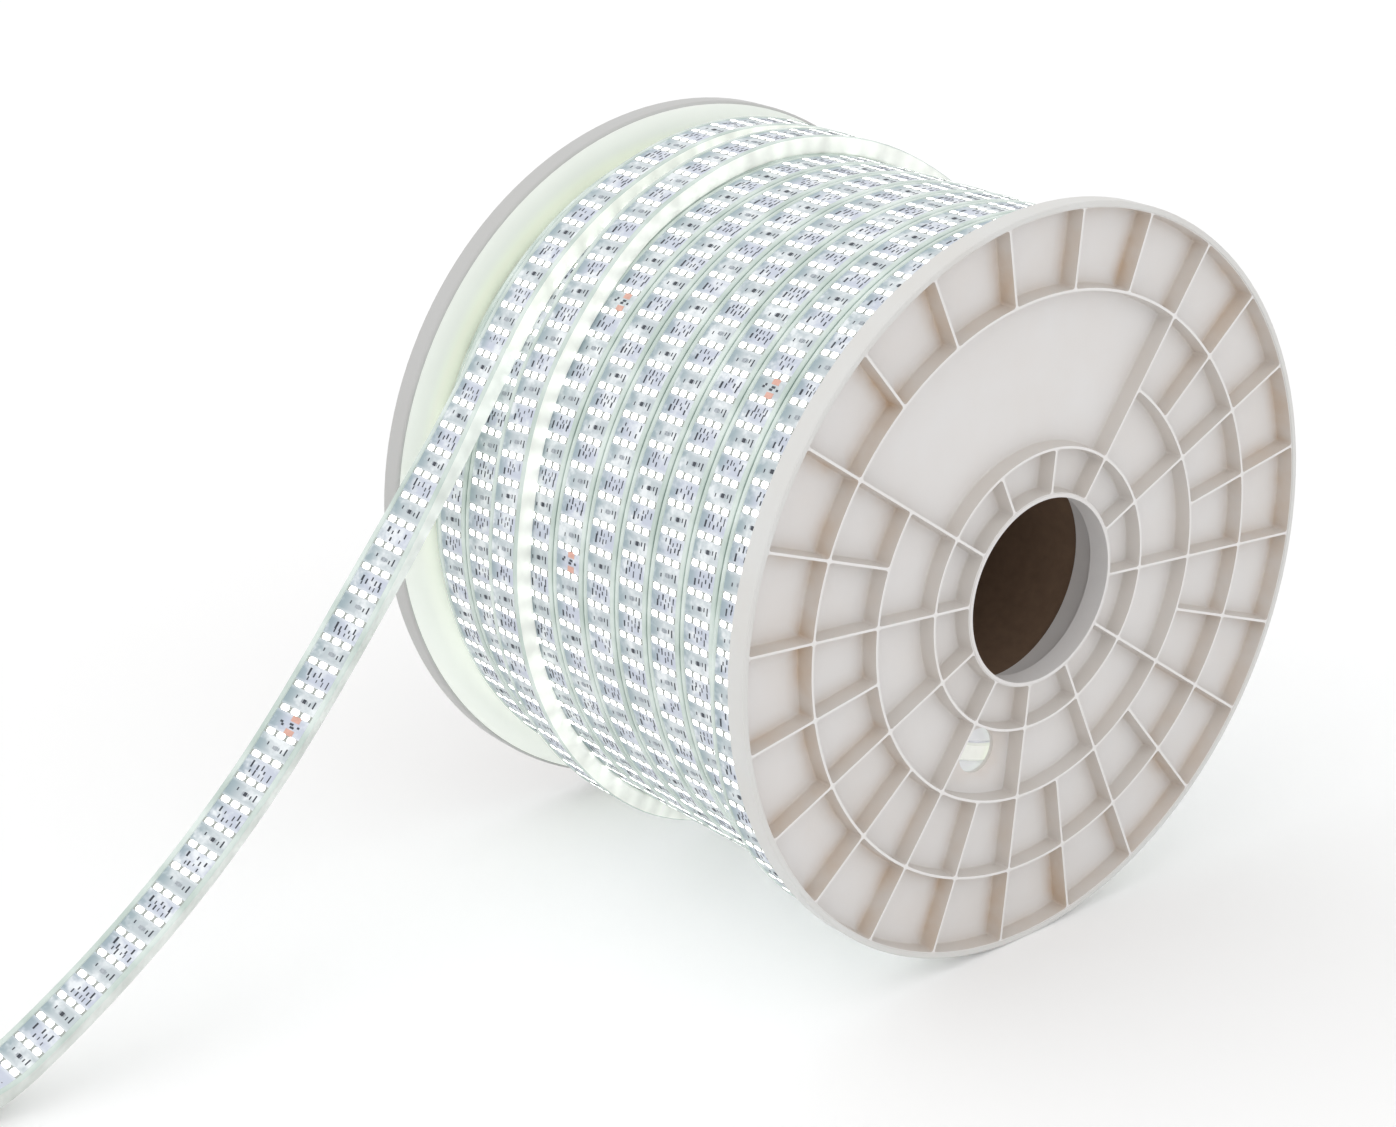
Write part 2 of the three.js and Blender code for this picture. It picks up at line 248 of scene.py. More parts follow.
def glow_painted_polypropylene():
    material, tree, shader = new_material("glow_painted_polypropylene")
    place = add_node(tree, "ShaderNodeTexCoord").outputs["Object"]
    from_axle = add_node(tree, "ShaderNodeVectorMath", {"operation": "SUBTRACT"}, {0: place, 1: (0, 0, AXLE)})
    in_plane = add_node(tree, "ShaderNodeVectorMath", {"operation": "MULTIPLY"}, {
        0: from_axle.outputs[0], 1: (0, 1, 1)})
    radius = add_node(tree, "ShaderNodeVectorMath", {"operation": "LENGTH"}, {0: in_plane.outputs[0]})
    close = add_node(tree, "ShaderNodeMapRange", {"interpolation_type": "SMOOTHSTEP"}, {
        "Value": radius.outputs["Value"],
        "From Min": LAYER_RADIUS - CLOSE_BELOW, "From Max": LAYER_RADIUS + CLOSE_ABOVE,
        "To Min": 1.0, "To Max": 0.0})
    height = add_node(tree, "ShaderNodeSeparateXYZ", inputs={0: from_axle.outputs[0]}).outputs["Z"]
    above = add_node(tree, "ShaderNodeMapRange", {"interpolation_type": "SMOOTHSTEP"}, {
        "Value": height, "From Min": -SHADE_TINT_FADE, "From Max": SHADE_TINT_FADE, "To Min": 0.2, "To Max": 1.0})
    # Near the winding, most of all above the axle, the face is painted yellower: painted shade.
    shade_tint = add_node(tree, "ShaderNodeMath", {"operation": "MULTIPLY"}, {
        0: close.outputs[0], 1: above.outputs[0]})
    colour = add_node(tree, "ShaderNodeMix", {"data_type": "RGBA"}, {
        "Factor": shade_tint.outputs[0], 6: linear("E8EBE6"), 7: linear("E4E8D8")})
    # The glow is painted as emission, stronger low down and a little stronger close to the winding.
    glow = add_node(tree, "ShaderNodeMapRange", {"interpolation_type": "SMOOTHSTEP"}, {
        "Value": height, "From Min": -GLOW_FADE, "From Max": GLOW_FADE, "To Min": 0.3, "To Max": 0.12})
    close_glow = add_node(tree, "ShaderNodeMath", {"operation": "MULTIPLY"}, {0: close.outputs[0], 1: 0.14})
    strength = add_node(tree, "ShaderNodeMath", {"operation": "ADD"}, {
        0: glow.outputs[0], 1: close_glow.outputs[0]})
    tree.links.new(colour.outputs[2], shader.inputs["Base Color"])
    tree.links.new(colour.outputs[2], shader.inputs["Emission Color"])
    tree.links.new(strength.outputs[0], shader.inputs["Emission Strength"])
    shader.inputs["Roughness"].default_value = 0.4
    material.cycles.emission_sampling = "NONE"
    return material


glow_painted_inside = glow_painted_polypropylene()
print("inner face finish", glow_painted_inside.name)

# %% [markdown]
# The core is a tube wound from brown card. It is matte, and a mottle stands for the card's fibres, drawn
# coarser than they are so that it shows.

# %% Wound card
FIBRE_PATCH_SIZE = 6 * MM


def wound_card():
    material, tree, shader = new_material("spiral_wound_card")
    place = add_node(tree, "ShaderNodeTexCoord")
    fibres = add_node(tree, "ShaderNodeTexNoise", inputs={
        "Vector": place.outputs["Object"], "Scale": 1 / FIBRE_PATCH_SIZE, "Detail": 8.0, "Roughness": 0.7})
    colour = add_node(tree, "ShaderNodeMix", {"data_type": "RGBA"}, {
        "Factor": fibres.outputs["Fac"], 6: linear("6A5544"), 7: linear("8C725C")})
    tree.links.new(colour.outputs[2], shader.inputs["Base Color"])
    shader.inputs["Roughness"].default_value = 0.9
    return material


core_card = wound_card()
print("core finish", core_card.name)

# %% [markdown]
# The strip's jacket is clear flexible PVC with a faint green cast. It is lit from inside, and that light is
# painted as a glow: its edges glow a pale milky green. Where a side lies open it glows almost white,
# brightest beside each row of LEDs, and between two turns it is painted darker, as painted shade. The free
# end's sides start as bright as the loose turn's and lose most of their glow over the first rows. The edges
# of the lower layers have a paler painted glow, and those that lie a little deeper are painted greyer, as
# painted shade.

# %% Lit PVC jacket
MILK_SIZE = 16 * MM
FADED_SHARE = 0.1


def lit_pvc(name, base_hex, glow_hex, glow_strength, row_strength=0.0, fade_rows=0):
    material, tree, shader = new_material(name)
    place = add_node(tree, "ShaderNodeTexCoord")
    milk = add_node(tree, "ShaderNodeTexNoise", inputs={
        "Vector": place.outputs["Object"], "Scale": 1 / MILK_SIZE, "Detail": 3.0})
    milkiness = add_node(tree, "ShaderNodeMapRange", inputs={
        "Value": milk.outputs["Fac"], "From Min": 0.35, "From Max": 0.65})
    colour = add_node(tree, "ShaderNodeMix", {"data_type": "RGBA"}, {
        "Factor": milkiness.outputs[0], 6: linear(base_hex), 7: linear(glow_hex)})
    tree.links.new(colour.outputs[2], shader.inputs["Base Color"])
    shader.inputs["Emission Color"].default_value = linear(glow_hex)
    shader.inputs["Emission Strength"].default_value = glow_strength
    if row_strength:
        on_strip = add_node(tree, "ShaderNodeUVMap", {"uv_map": "place"})
        along = add_node(tree, "ShaderNodeSeparateXYZ", inputs={0: on_strip.outputs[0]}).outputs["X"]
        row_distance = add_node(tree, "ShaderNodeMath", {"operation": "PINGPONG"}, {0: along, 1: 0.5})
        row_light = add_node(tree, "ShaderNodeMapRange", {"interpolation_type": "SMOOTHSTEP"}, {
            "Value": row_distance.outputs[0], "From Min": 0.0, "From Max": 0.5,
            "To Min": glow_strength + row_strength, "To Max": glow_strength})
        light = row_light.outputs[0]
        if fade_rows:
            fade = add_node(tree, "ShaderNodeMapRange", {"interpolation_type": "SMOOTHSTEP"}, {
                "Value": along, "From Min": 0.0, "From Max": fade_rows, "To Min": 1.0, "To Max": FADED_SHARE})
            light = add_node(tree, "ShaderNodeMath", {"operation": "MULTIPLY"}, {
                0: light, 1: fade.outputs[0]}).outputs[0]
        tree.links.new(light, shader.inputs["Emission Strength"])
    shader.inputs["Roughness"].default_value = 0.22
    shader.inputs["IOR"].default_value = 1.53
    material.cycles.emission_sampling = "NONE"
    return material


# Each copy has its own painted light: glowing edges, painted shade between turns, and a painted glow on open
# sides and layer edges.
jacket_edge = lit_pvc("lit_pvc_edge", "B6C4BD", "D6E0DB", 0.08)
shaded_side = lit_pvc("shaded_pvc_side", "93A79E", "C0CFC8", 0.03)
lit_side = lit_pvc("lit_pvc_side", "CCCFC9", "E8EBE5", 0.27, row_strength=0.13)
tail_side = lit_pvc("lit_pvc_tail_side", "C9CEC9", "E4E8E4", 0.27, row_strength=0.13, fade_rows=14)
deep_side = lit_pvc("lit_pvc_deep_side", "E6E8E1", "F8F9F3", 0.15)
sunk_shaded_side = lit_pvc("shaded_pvc_sunk_side", "DBDCDF", "E6E6EB", 0.12)
print("jacket finishes", jacket_edge.name, lit_side.name, deep_side.name)

# %% [markdown]
# Under the jacket lies a white-lacquered circuit board. Between the LED rows its ground is lavender
# where the tracks run, and greyer where a single part sits, and near each row it is lit paler. A haze
# of light in the jacket pales it in places. Towards one edge the clear jacket's thick side throws
# a grey-green shade on it, and between the LEDs of a row it is a darker grey.

# %% Lacquered circuit board
HAZE_SIZE = 8 * MM
SHADE_EDGE_MM = -6.5
SHADE_END_MM = -0.5


def lacquered_board():
    material, tree, shader = new_material("lacquered_board")
    place = add_node(tree, "ShaderNodeUVMap", {"uv_map": "place"})
    on_strip = add_node(tree, "ShaderNodeSeparateXYZ", inputs={0: place.outputs[0]})
    along = on_strip.outputs["X"]
    in_pair = add_node(tree, "ShaderNodeMath", {"operation": "FLOORED_MODULO"}, {0: along, 1: 2.0})
    busy = add_node(tree, "ShaderNodeMath", {"operation": "LESS_THAN"}, {0: in_pair.outputs[0], 1: 1.0})
    ground = add_node(tree, "ShaderNodeMix", {"data_type": "RGBA"}, {
        "Factor": busy.outputs[0], 6: linear("BDC6CA"), 7: linear("C2C8D6")})
    row_distance = add_node(tree, "ShaderNodeMath", {"operation": "PINGPONG"}, {0: along, 1: 0.5})
    near_row = add_node(tree, "ShaderNodeMapRange", {"interpolation_type": "SMOOTHSTEP"}, {
        "Value": row_distance.outputs[0], "From Min": 0.12, "From Max": 0.28, "To Min": 0.5, "To Max": 0.0})
    in_space = add_node(tree, "ShaderNodeTexCoord").outputs["Object"]
    haze = add_node(tree, "ShaderNodeTexNoise", inputs={
        "Vector": in_space, "Scale": 1 / HAZE_SIZE, "Detail": 3.0, "Roughness": 0.6})
    haze_amount = add_node(tree, "ShaderNodeMapRange", inputs={
        "Value": haze.outputs["Fac"], "From Min": 0.46, "From Max": 0.66, "To Min": 0.0, "To Max": 0.9})
    light_amount = add_node(tree, "ShaderNodeMath", {"operation": "MAXIMUM"}, {
        0: near_row.outputs[0], 1: haze_amount.outputs[0]})
    colour = add_node(tree, "ShaderNodeMix", {"data_type": "RGBA"}, {
        "Factor": light_amount.outputs[0], 6: ground.outputs[2], 7: linear("EDF1F3")})
    edge_shade = add_node(tree, "ShaderNodeMapRange", {"interpolation_type": "SMOOTHSTEP"}, {
        "Value": on_strip.outputs["Y"],
        "From Min": SHADE_EDGE_MM, "From Max": SHADE_END_MM, "To Min": 0.8, "To Max": 0.0})
    clear = add_node(tree, "ShaderNodeMath", {"operation": "SUBTRACT"}, {0: 1.0, 1: light_amount.outputs[0]})
    shade_amount = add_node(tree, "ShaderNodeMath", {"operation": "MULTIPLY"}, {
        0: edge_shade.outputs[0], 1: clear.outputs[0]})
    shaded = add_node(tree, "ShaderNodeMix", {"data_type": "RGBA"}, {
        "Factor": shade_amount.outputs[0], 6: colour.outputs[2], 7: linear("8A9FA6")})
    between_leds = add_node(tree, "ShaderNodeMath", {"operation": "LESS_THAN"}, {
        0: row_distance.outputs[0], 1: LED_LENGTH / 2 / ROW_PITCH})
    whole = add_node(tree, "ShaderNodeMix", {"data_type": "RGBA"}, {
        "Factor": between_leds.outputs[0], 6: shaded.outputs[2], 7: linear("A3A8A2")})
    tree.links.new(whole.outputs[2], shader.inputs["Base Color"])
    # The whole board has a faint painted glow.
    shader.inputs["Emission Color"].default_value = linear("E6ECF2")
    shader.inputs["Emission Strength"].default_value = 0.04
    shader.inputs["Roughness"].default_value = 0.3
    material.cycles.emission_sampling = "NONE"
    return material


board_lacquer = lacquered_board()
print("board finish", board_lacquer.name)

# %% [markdown]
# A lit LED is far brighter than anything round it, so it reads as plain white. Its housing is grey resin,
# which parts it from its neighbours. The tracks between the rows are dark grey solder, the chips are
# dark resin or pale grey ceramic, and the cut marks have bare copper pads. A fine speckle keeps these
# from looking flat. None of the glowing finishes is sampled as a lamp, so they light what lies round
# them only faintly, by the rays that meet them, and the picture stays calm.

# %% LEDs, parts and pads
SPECKLE_SIZE = 2 * MM
SPECKLE_LIFT = 1.5


def lit_led():
    material, tree, shader = new_material("lit_led")
    shader.inputs["Base Color"].default_value = linear("FFFFFF")
    shader.inputs["Emission Color"].default_value = linear("FFFFFB")
    shader.inputs["Emission Strength"].default_value = 2.8
    shader.inputs["Roughness"].default_value = 0.4
    material.cycles.emission_sampling = "NONE"
    return material


def speckled(name, hex_colour, roughness):
    material, tree, shader = new_material(name)
    place = add_node(tree, "ShaderNodeTexCoord")
    speckle = add_node(tree, "ShaderNodeTexNoise", inputs={
        "Vector": place.outputs["Object"], "Scale": 1 / SPECKLE_SIZE, "Detail": 2.0})
    paler = [min(1.0, c * SPECKLE_LIFT) for c in linear(hex_colour)]
    colour = add_node(tree, "ShaderNodeMix", {"data_type": "RGBA"}, {
        "Factor": speckle.outputs["Fac"], 6: linear(hex_colour), 7: paler})
    tree.links.new(colour.outputs[2], shader.inputs["Base Color"])
    shader.inputs["Roughness"].default_value = roughness
    return material


led_white = lit_led()
led_housing = speckled("grey_resin_housing", "9DA39C", 0.5)
track_dark = speckled("dark_solder_track", "2E323C", 0.5)
chip_dark = speckled("black_resin_chip", "3C4048", 0.5)
chip_grey = speckled("grey_ceramic_chip", "9AA0A6", 0.5)
pad_copper = speckled("bare_copper_pad", "C99C8E", 0.45)
print("small parts' finishes", led_white.name, led_housing.name, track_dark.name, pad_copper.name)

# %% [markdown]
# ## The strip's route
#
# The strip is one length, so it is followed from where it leaves the winding. Outwards it runs down
# to the floor. Inwards it makes the loose turn, slants over behind the reel to the near flange, steps
# down a layer and fills that layer turn by turn. A route keeps places along its middle, so anything on
# the strip can be placed by its distance along, across and above. Across always points towards the
# near flange, and above stays on the side with the LEDs, so nothing flips on the way. The board can't
# stretch, so the distance along is measured at the board's height.

# %% A route that a strip follows
class Route:
    def __init__(self, points, outwards):
        self.points = points
        self.acrosses = []
        self.outwards = []
        for i, outward in enumerate(outwards):
            ahead = points[min(i + 1, len(points) - 1)] - points[max(i - 1, 0)]
            ahead.normalize()
            across = ahead.cross(outward).normalized()
            if across.x < 0:
                across.negate()
            facing = across.cross(ahead).normalized()
            if facing.dot(outward) < 0:
                facing.negate()
            self.acrosses.append(across)
            self.outwards.append(facing)
        board_line = [point + facing * BOARD_HEIGHT for point, facing in zip(points, self.outwards)]
        self.lengths = [0.0]
        for before, after in zip(board_line, board_line[1:]):
            self.lengths.append(self.lengths[-1] + (after - before).length)

    @property
    def length(self):
        return self.lengths[-1]

    def place(self, along, across, height):
        i = min(max(bisect.bisect_right(self.lengths, along) - 1, 0), len(self.points) - 2)
        t = (along - self.lengths[i]) / (self.lengths[i + 1] - self.lengths[i])
        middle = self.points[i].lerp(self.points[i + 1], t)
        side = self.acrosses[i].lerp(self.acrosses[i + 1], t)
        outward = self.outwards[i].lerp(self.outwards[i + 1], t)
        return middle + side * across + outward * height


def smooth_through(points, steps):
    """A smooth line that passes through every point, with so many steps between two of them."""
    padded = [2 * points[0] - points[1], *points, 2 * points[-1] - points[-2]]
    line = []
    for before, start, end, after in zip(padded, padded[1:], padded[2:], padded[3:]):
        for step in range(steps):
            t = step / steps
            line.append(0.5 * (
                2 * start + (end - before) * t
                + (2 * before - 5 * start + 4 * end - after) * t ** 2
                + (3 * start - before - 3 * end + after) * t ** 3))
    return line + [points[-1]]


def ease(t):
    t = min(max(t, 0), 1)
    return t * t * (3 - 2 * t)


# %% [markdown]
# The free end falls in one long bow and lies down on the floor. Its points are the same as the solid's,
# set so that the strip falls where the photograph has it. On the way it turns its face a little to the
# near side.

# %% The free end, from the exit to the cap
TAIL_ROUTE_MM = [
    (-71.4, -124.4, 235.4), (-71.4, -129.8, 227.1), (-71.5, -135.5, 218.8), (-71.6, -149.9, 198.7),
    (-71.3, -165.5, 179), (-70.3, -181.6, 159.9), (-68.5, -198.4, 141.4), (-65.8, -215.7, 123.7),
    (-62.4, -233.7, 106.8), (-58.6, -252.5, 90.8), (-54.8, -272.1, 76), (-51, -292.6, 62),
    (-47.6, -313.8, 48.8), (-44.8, -335.4, 36.3), (-42.7, -357, 24.7), (-41.3, -375, 15.8),
    (-40.4, -392, 9.3), (-40, -408, 5.8), (-40, -424, 4.9), (-40, -440, 4.9), (-40, -455, 4.9),
]
TAIL_STEPS = 4
TAIL_ROLL = math.radians(24)
ROLL_FALL = 110 * MM
LANDING_HEIGHT = 5 * MM
LANDING_RISE = 11 * MM

tail_points = smooth_through([Vector(point) * MM for point in TAIL_ROUTE_MM], TAIL_STEPS)


def tail_roll(point):
    """The roll grows over the first fall and is gone where the strip lies flat."""
    leaving = ease((tail_points[0].z - point.z) / ROLL_FALL)
    landing = ease((point.z - LANDING_HEIGHT) / LANDING_RISE)
    return TAIL_ROLL * leaving * landing


tail_outwards = []
for i, point in enumerate(tail_points):
    ahead = tail_points[min(i + 1, len(tail_points) - 1)] - tail_points[max(i - 1, 0)]
    level = Vector((0, 0, 1)).cross(ahead).normalized()
    upright = ahead.cross(level).normalized()
    roll = tail_roll(point)
    tail_outwards.append(upright * math.cos(roll) + level * math.sin(roll))
tail_route = Route(tail_points, tail_outwards)
print("free end", round(tail_route.length, 4), "m")

# %% [markdown]
# On the reel a place is given by its angle round the axle and its radius. The angle counts from the
# top, over the side away from the free end. The loose turn wanders, so its distance from the far
# flange is given in millimetres at a few angles and eased between them. The full layer below is a
# plain helix.

# %% The loose turn's way across the reel
LOOSE_ROUTE = [
    (303, 33.6), (336, 33.5), (366, 30.5), (420, 30), (480, 37), (540, 56),
    (588, 69), (636, 69.5), (666, 65), (696, 60), (726, 57), (744, 58.5),
]
SLANT_END = 926
CLIMB_START = 950
LAST_TURN_ANGLE = 295
LAST_TURN_INSET = 11.4 * MM


def layer_x(degrees):
    return INNER_FACE - LAST_TURN_INSET - TURN_PITCH * (degrees - LAST_TURN_ANGLE) / 360


def layer_angle(x):
    return LAST_TURN_ANGLE + 360 * (layer_x(LAST_TURN_ANGLE) - x) / TURN_PITCH


def loose_x(degrees):
    end_angle, end_inset = LOOSE_ROUTE[-1]
    if degrees <= LOOSE_ROUTE[0][0]:
        return LOOSE_ROUTE[0][1] * MM - INNER_FACE
    if degrees >= end_angle:
        start = end_inset * MM - INNER_FACE
        return start + (WALL_X - start) * ease((degrees - end_angle) / (SLANT_END - end_angle))
    for i, (angle, inset) in enumerate(LOOSE_ROUTE[1:]):
        if degrees < angle:
            before_angle, before_inset = LOOSE_ROUTE[i]
            t = (degrees - before_angle) / (angle - before_angle)
            return (before_inset + (inset - before_inset) * ease(t)) * MM - INNER_FACE


# %% The loose turn and the full layer below it
STATION_STEP = 3
EXIT_OVERLAP = 0.1

wound_points = []
wound_outwards = []


def wound_point(degrees, x, radius):
    angle = math.radians(degrees)
    return Vector((x, radius * math.sin(angle), AXLE + radius * math.cos(angle)))


def wound_outward(degrees):
    return wound_point(degrees, 0, 1) - Vector((0, 0, AXLE))


def add_station(degrees, x, radius):
    wound_points.append(wound_point(degrees, x, radius))
    wound_outwards.append(wound_outward(degrees))


layer_start = layer_angle(WALL_X)
layer_end = layer_angle(-WALL_X)
exit_angle = LOOSE_ROUTE[0][0] - EXIT_OVERLAP
loose_end = layer_start + 2 * 360
loose_steps = round((loose_end - exit_angle) / STATION_STEP)
for i in range(loose_steps):
    degrees = exit_angle + (loose_end - exit_angle) * i / loose_steps
    climb = ease((degrees - CLIMB_START) / (loose_end - CLIMB_START))
    radius = LOOSE_RADIUS + (LAYER_RADIUS - LOOSE_RADIUS) * climb - STRIP_THICKNESS / 2
    add_station(degrees, loose_x(degrees), radius)
layer_steps = round((layer_end - layer_start) / STATION_STEP)
for i in range(layer_steps + 1):
    degrees = layer_start + (layer_end - layer_start) * i / layer_steps
    add_station(degrees, layer_x(degrees), LAYER_RADIUS - STRIP_THICKNESS / 2)
wound_route = Route(wound_points, wound_outwards)
print("wound strip in sight", round(wound_route.length, 2), "m")

# %% [markdown]
# ## The strip's body
#
# The jacket is extruded plastic, so one outline swept along the route gives it: rounded edges, and a
# shallow window in the top over the board. The sweep could be a curve with a bevel object, but a mesh
# lets each face have its own slot and gives the board its places for the pattern.

# %% The strip's outline
EDGE_ROUND = 1.0 * MM
EDGE_POINTS = 4
WINDOW_HALF = 7.2 * MM
WINDOW_SLOPE = 0.3 * MM
EDGE_DEPTH = EDGE_ROUND * 0.6
EDGE, SIDE, BOARD, OPEN_SIDE = 0, 1, 2, 3


def strip_outline():
    half, top = STRIP_WIDTH / 2, STRIP_THICKNESS / 2
    corner = []
    for step in range(EDGE_POINTS):
        angle = math.radians(90 * step / (EDGE_POINTS - 1))
        corner.append((
            half - EDGE_ROUND + EDGE_ROUND * math.sin(angle),
            top - EDGE_ROUND + EDGE_ROUND * math.cos(angle)))
    window = [(WINDOW_HALF, BOARD_HEIGHT), (WINDOW_HALF + WINDOW_SLOPE, top)]
    right_half = window + corner + [(x, -y) for x, y in reversed(corner)]
    return right_half + [(-x, y) for x, y in reversed(right_half)]


def side_slot(start, end):
    """The board is the window's floor, and the top and the upper part of its roundings are edge."""
    if start[1] == end[1] == BOARD_HEIGHT:
        return BOARD
    return EDGE if min(start[1], end[1]) > STRIP_THICKNESS / 2 - EDGE_DEPTH else SIDE


print("strip outline", len(strip_outline()), "points")


# %% The sweep along a route
def sweep_strip(name, route, spacing, open_finish=lit_side, open_until=0.0):
    outline = strip_outline()
    count = len(outline)
    corners, places, faces, slots = [], [], [], []
    steps = max(2, round(route.length / spacing))
    for i in range(steps + 1):
        along = route.length * i / steps
        for across, height in outline:
            corners.append(route.place(along, across, height))
            places.append(((along + FIRST_ROW) / ROW_PITCH, across / MM))
    for i in range(steps):
        is_open = route.length * i / steps < open_until
        for j in range(count):
            k = (j + 1) % count
            faces.append((i * count + j, i * count + k, (i + 1) * count + k, (i + 1) * count + j))
            slot = side_slot(outline[j], outline[k])
            # Sides between turns take the painted shade, and open sides take the painted glow.
            slots.append(OPEN_SIDE if slot == SIDE and is_open else slot)
    faces.append(tuple(reversed(range(count))))
    faces.append(tuple(range(steps * count, (steps + 1) * count)))
    slots += [SIDE, SIDE]
    finishes = [jacket_edge, shaded_side, board_lacquer, open_finish]
    return make_object(name, corners, faces, finishes, slots, places)


# %% [markdown]
# ## LEDs and parts
#
# Three LEDs stand side by side in each row. Between the rows, one stretch has a group of short dark
# tracks and the next has a single chip. They are real low boxes on the board, so they keep their
# place from every side.

# %% LEDs laid on a route
LED_FOOT = 0.1 * MM
LED_RISE = 0.2 * MM


def row_count(route):
    return int((route.length - FIRST_ROW) / ROW_PITCH)


def led_outline():
    half_long, half_wide = LED_LENGTH / 2, LED_WIDTH / 2
    quarter = [(half_long - LED_CORNER, half_wide), (half_long, half_wide - LED_CORNER)]
    right = quarter + [(a, -b) for a, b in reversed(quarter)]
    return right + [(-a, -b) for a, b in right]


def lay_leds(name, route):
    outline = led_outline()
    count = len(outline)
    corners, faces, slots = [], [], []
    for row in range(row_count(route)):
        middle = FIRST_ROW + row * ROW_PITCH
        for spot in (-1, 0, 1):
            first = len(corners)
            for height in (BOARD_HEIGHT - LED_FOOT, BOARD_HEIGHT + LED_RISE):
                for a, b in outline:
                    corners.append(route.place(middle + a, spot * LED_SPACING + b, height))
            for j in range(count):
                k = (j + 1) % count
                faces.append((first + j, first + k, first + count + k, first + count + j))
            faces.append(tuple(reversed(range(first, first + count))))
            faces.append(tuple(range(first + count, first + 2 * count)))
            slots += [1] * (count + 1) + [0]
    return make_object(name, corners, faces, [led_white, led_housing], slots)


print("LED outline", len(led_outline()), "points")

# %% Low boxes between the rows
MARK_FOOT = 0.05 * MM


def add_box(lists, route, along, across, size_along, size_across, low, high):
    corners, faces = lists
    first = len(corners)
    for height in (low, high):
        for a, b in ((-1, -1), (1, -1), (1, 1), (-1, 1)):
            corners.append(route.place(along + a * size_along / 2, across + b * size_across / 2, height))
    for j in range(4):
        k = (j + 1) % 4
        faces.append((first + j, first + k, first + 4 + k, first + 4 + j))
    faces.append((first + 4, first + 5, first + 6, first + 7))
    faces.append((first + 3, first + 2, first + 1, first))


def mark(lists, route, cell, along, across, size_along, size_across, rise):
    """A part in the stretch before a row, with its place, size and height above the board in mm."""
    begin = FIRST_ROW + (cell - 1) * ROW_PITCH
    add_box(lists, route, begin + along * MM, across * MM, size_along * MM, size_across * MM,
            BOARD_HEIGHT - MARK_FOOT, BOARD_HEIGHT + rise * MM)


# %% [markdown]
# The places below are in millimetres, along the strip from the row before and across it from its
# middle. A track is missing here and there and each is shifted a little, by a seeded draw, so that no
# two stretches are quite alike.

# %% Tracks, chips and pads
# Each track is its place across, its place along, its length and its width.
TRACKS = [
    (-3.7, 4.4, 3.0, 1.0), (-2.9, 7.2, 1.6, 0.6), (-1.4, 5.0, 2.0, 0.65), (-0.9, 7.4, 2.4, 0.75),
    (0.7, 4.0, 2.2, 0.7), (1.1, 7.0, 1.5, 0.5), (2.5, 5.2, 1.8, 0.65), (3.3, 7.6, 1.8, 0.5),
    (4.7, 4.2, 2.6, 0.75), (5.4, 6.8, 3.0, 0.6),
]
TRACK_SHARE = 0.85
TRACK_RISE = 0.03
PAD_SPOTS = (2.5, 8.4)
# Each chip at a cut mark is its place along, its place across and its width.
PAD_CHIPS = [(4.9, 1.2, 1.6), (6.1, 1.9, 1.8), (5.2, 4.4, 1.0), (5.4, -3.0, 1.2), (6.4, -2.2, 1.0)]
CHIP_ALONG, CHIP_ACROSS = 5.4, 0.9
CHIP_LEAD_OFFSET = 1.15
# Each track beside the single chip is its place along, its place across, its length and its width.
CHIP_TRACKS = [(5.7, 3.4, 1.6, 0.5), (5.2, 5.2, 3.0, 0.6), (4.8, -3.0, 1.4, 0.5)]
DARK_CHIP_SHARE = 0.45


def lay_parts(name, route, first_cell, pads):
    tracks, dark_chips, grey_chips, coppers = ([], []), ([], []), ([], []), ([], [])
    chance = random.Random(7)
    for cell in range(first_cell, row_count(route)):
        if cell in pads:
            for along in PAD_SPOTS:
                mark(coppers, route, cell, along, 1.9, 2.5, 3.8, 0.05)
            for along, across, width in PAD_CHIPS:
                mark(dark_chips, route, cell, along, across, 0.9, width, 0.08)
        elif cell % 2 == 0:
            for across, along, length, width in TRACKS:
                if chance.random() < TRACK_SHARE:
                    mark(tracks, route, cell,
                         along + chance.uniform(-0.5, 0.5), across + chance.uniform(-0.3, 0.3),
                         length * chance.uniform(0.7, 1.15), width * chance.uniform(0.7, 1.0), TRACK_RISE)
        else:
            chips = dark_chips if chance.random() < DARK_CHIP_SHARE else grey_chips
            mark(chips, route, cell, CHIP_ALONG, CHIP_ACROSS, 1.6, 1.3, 0.25)
            for side in (-1, 1):
                lead_across = CHIP_ACROSS + side * CHIP_LEAD_OFFSET
                mark(grey_chips, route, cell, CHIP_ALONG, lead_across, 1.3, 0.5, 0.15)
            for along, across, length, width in CHIP_TRACKS:
                mark(tracks, route, cell, along, across, length, width, TRACK_RISE)
    corners, faces, slots = [], [], []
    for slot, (own_corners, own_faces) in enumerate((tracks, dark_chips, grey_chips, coppers)):
        faces += [tuple(i + len(corners) for i in face) for face in own_faces]
        slots += [slot] * len(own_faces)
        corners += own_corners
    return make_object(name, corners, faces, [track_dark, chip_dark, chip_grey, pad_copper], slots)


# %% [markdown]
# ## The free end
#
# The free end is made first. Its sides lie open all the way.

# %% The free end's strip, LEDs and parts
TAIL_SPACING = 4 * MM
TAIL_PADS = (16,)

tail_strip = sweep_strip("tail_strip", tail_route, TAIL_SPACING, tail_side, tail_route.length)
tail_leds = lay_leds("tail_leds", tail_route)
tail_parts = lay_parts("tail_parts", tail_route, 1, pads=TAIL_PADS)
belongs(tail_strip, "strip_jacket", "strip_tail")
belongs(tail_leds, "strip_jacket")
belongs(tail_parts, "strip_jacket")

# %% [markdown]
# The strip's end is closed by a soft cap of milky PVC, pushed over it and glued. Its lip is rounded
# and its blind end is slightly domed. It is lofted through copies of the strip's outline that grow
# and shrink along it.

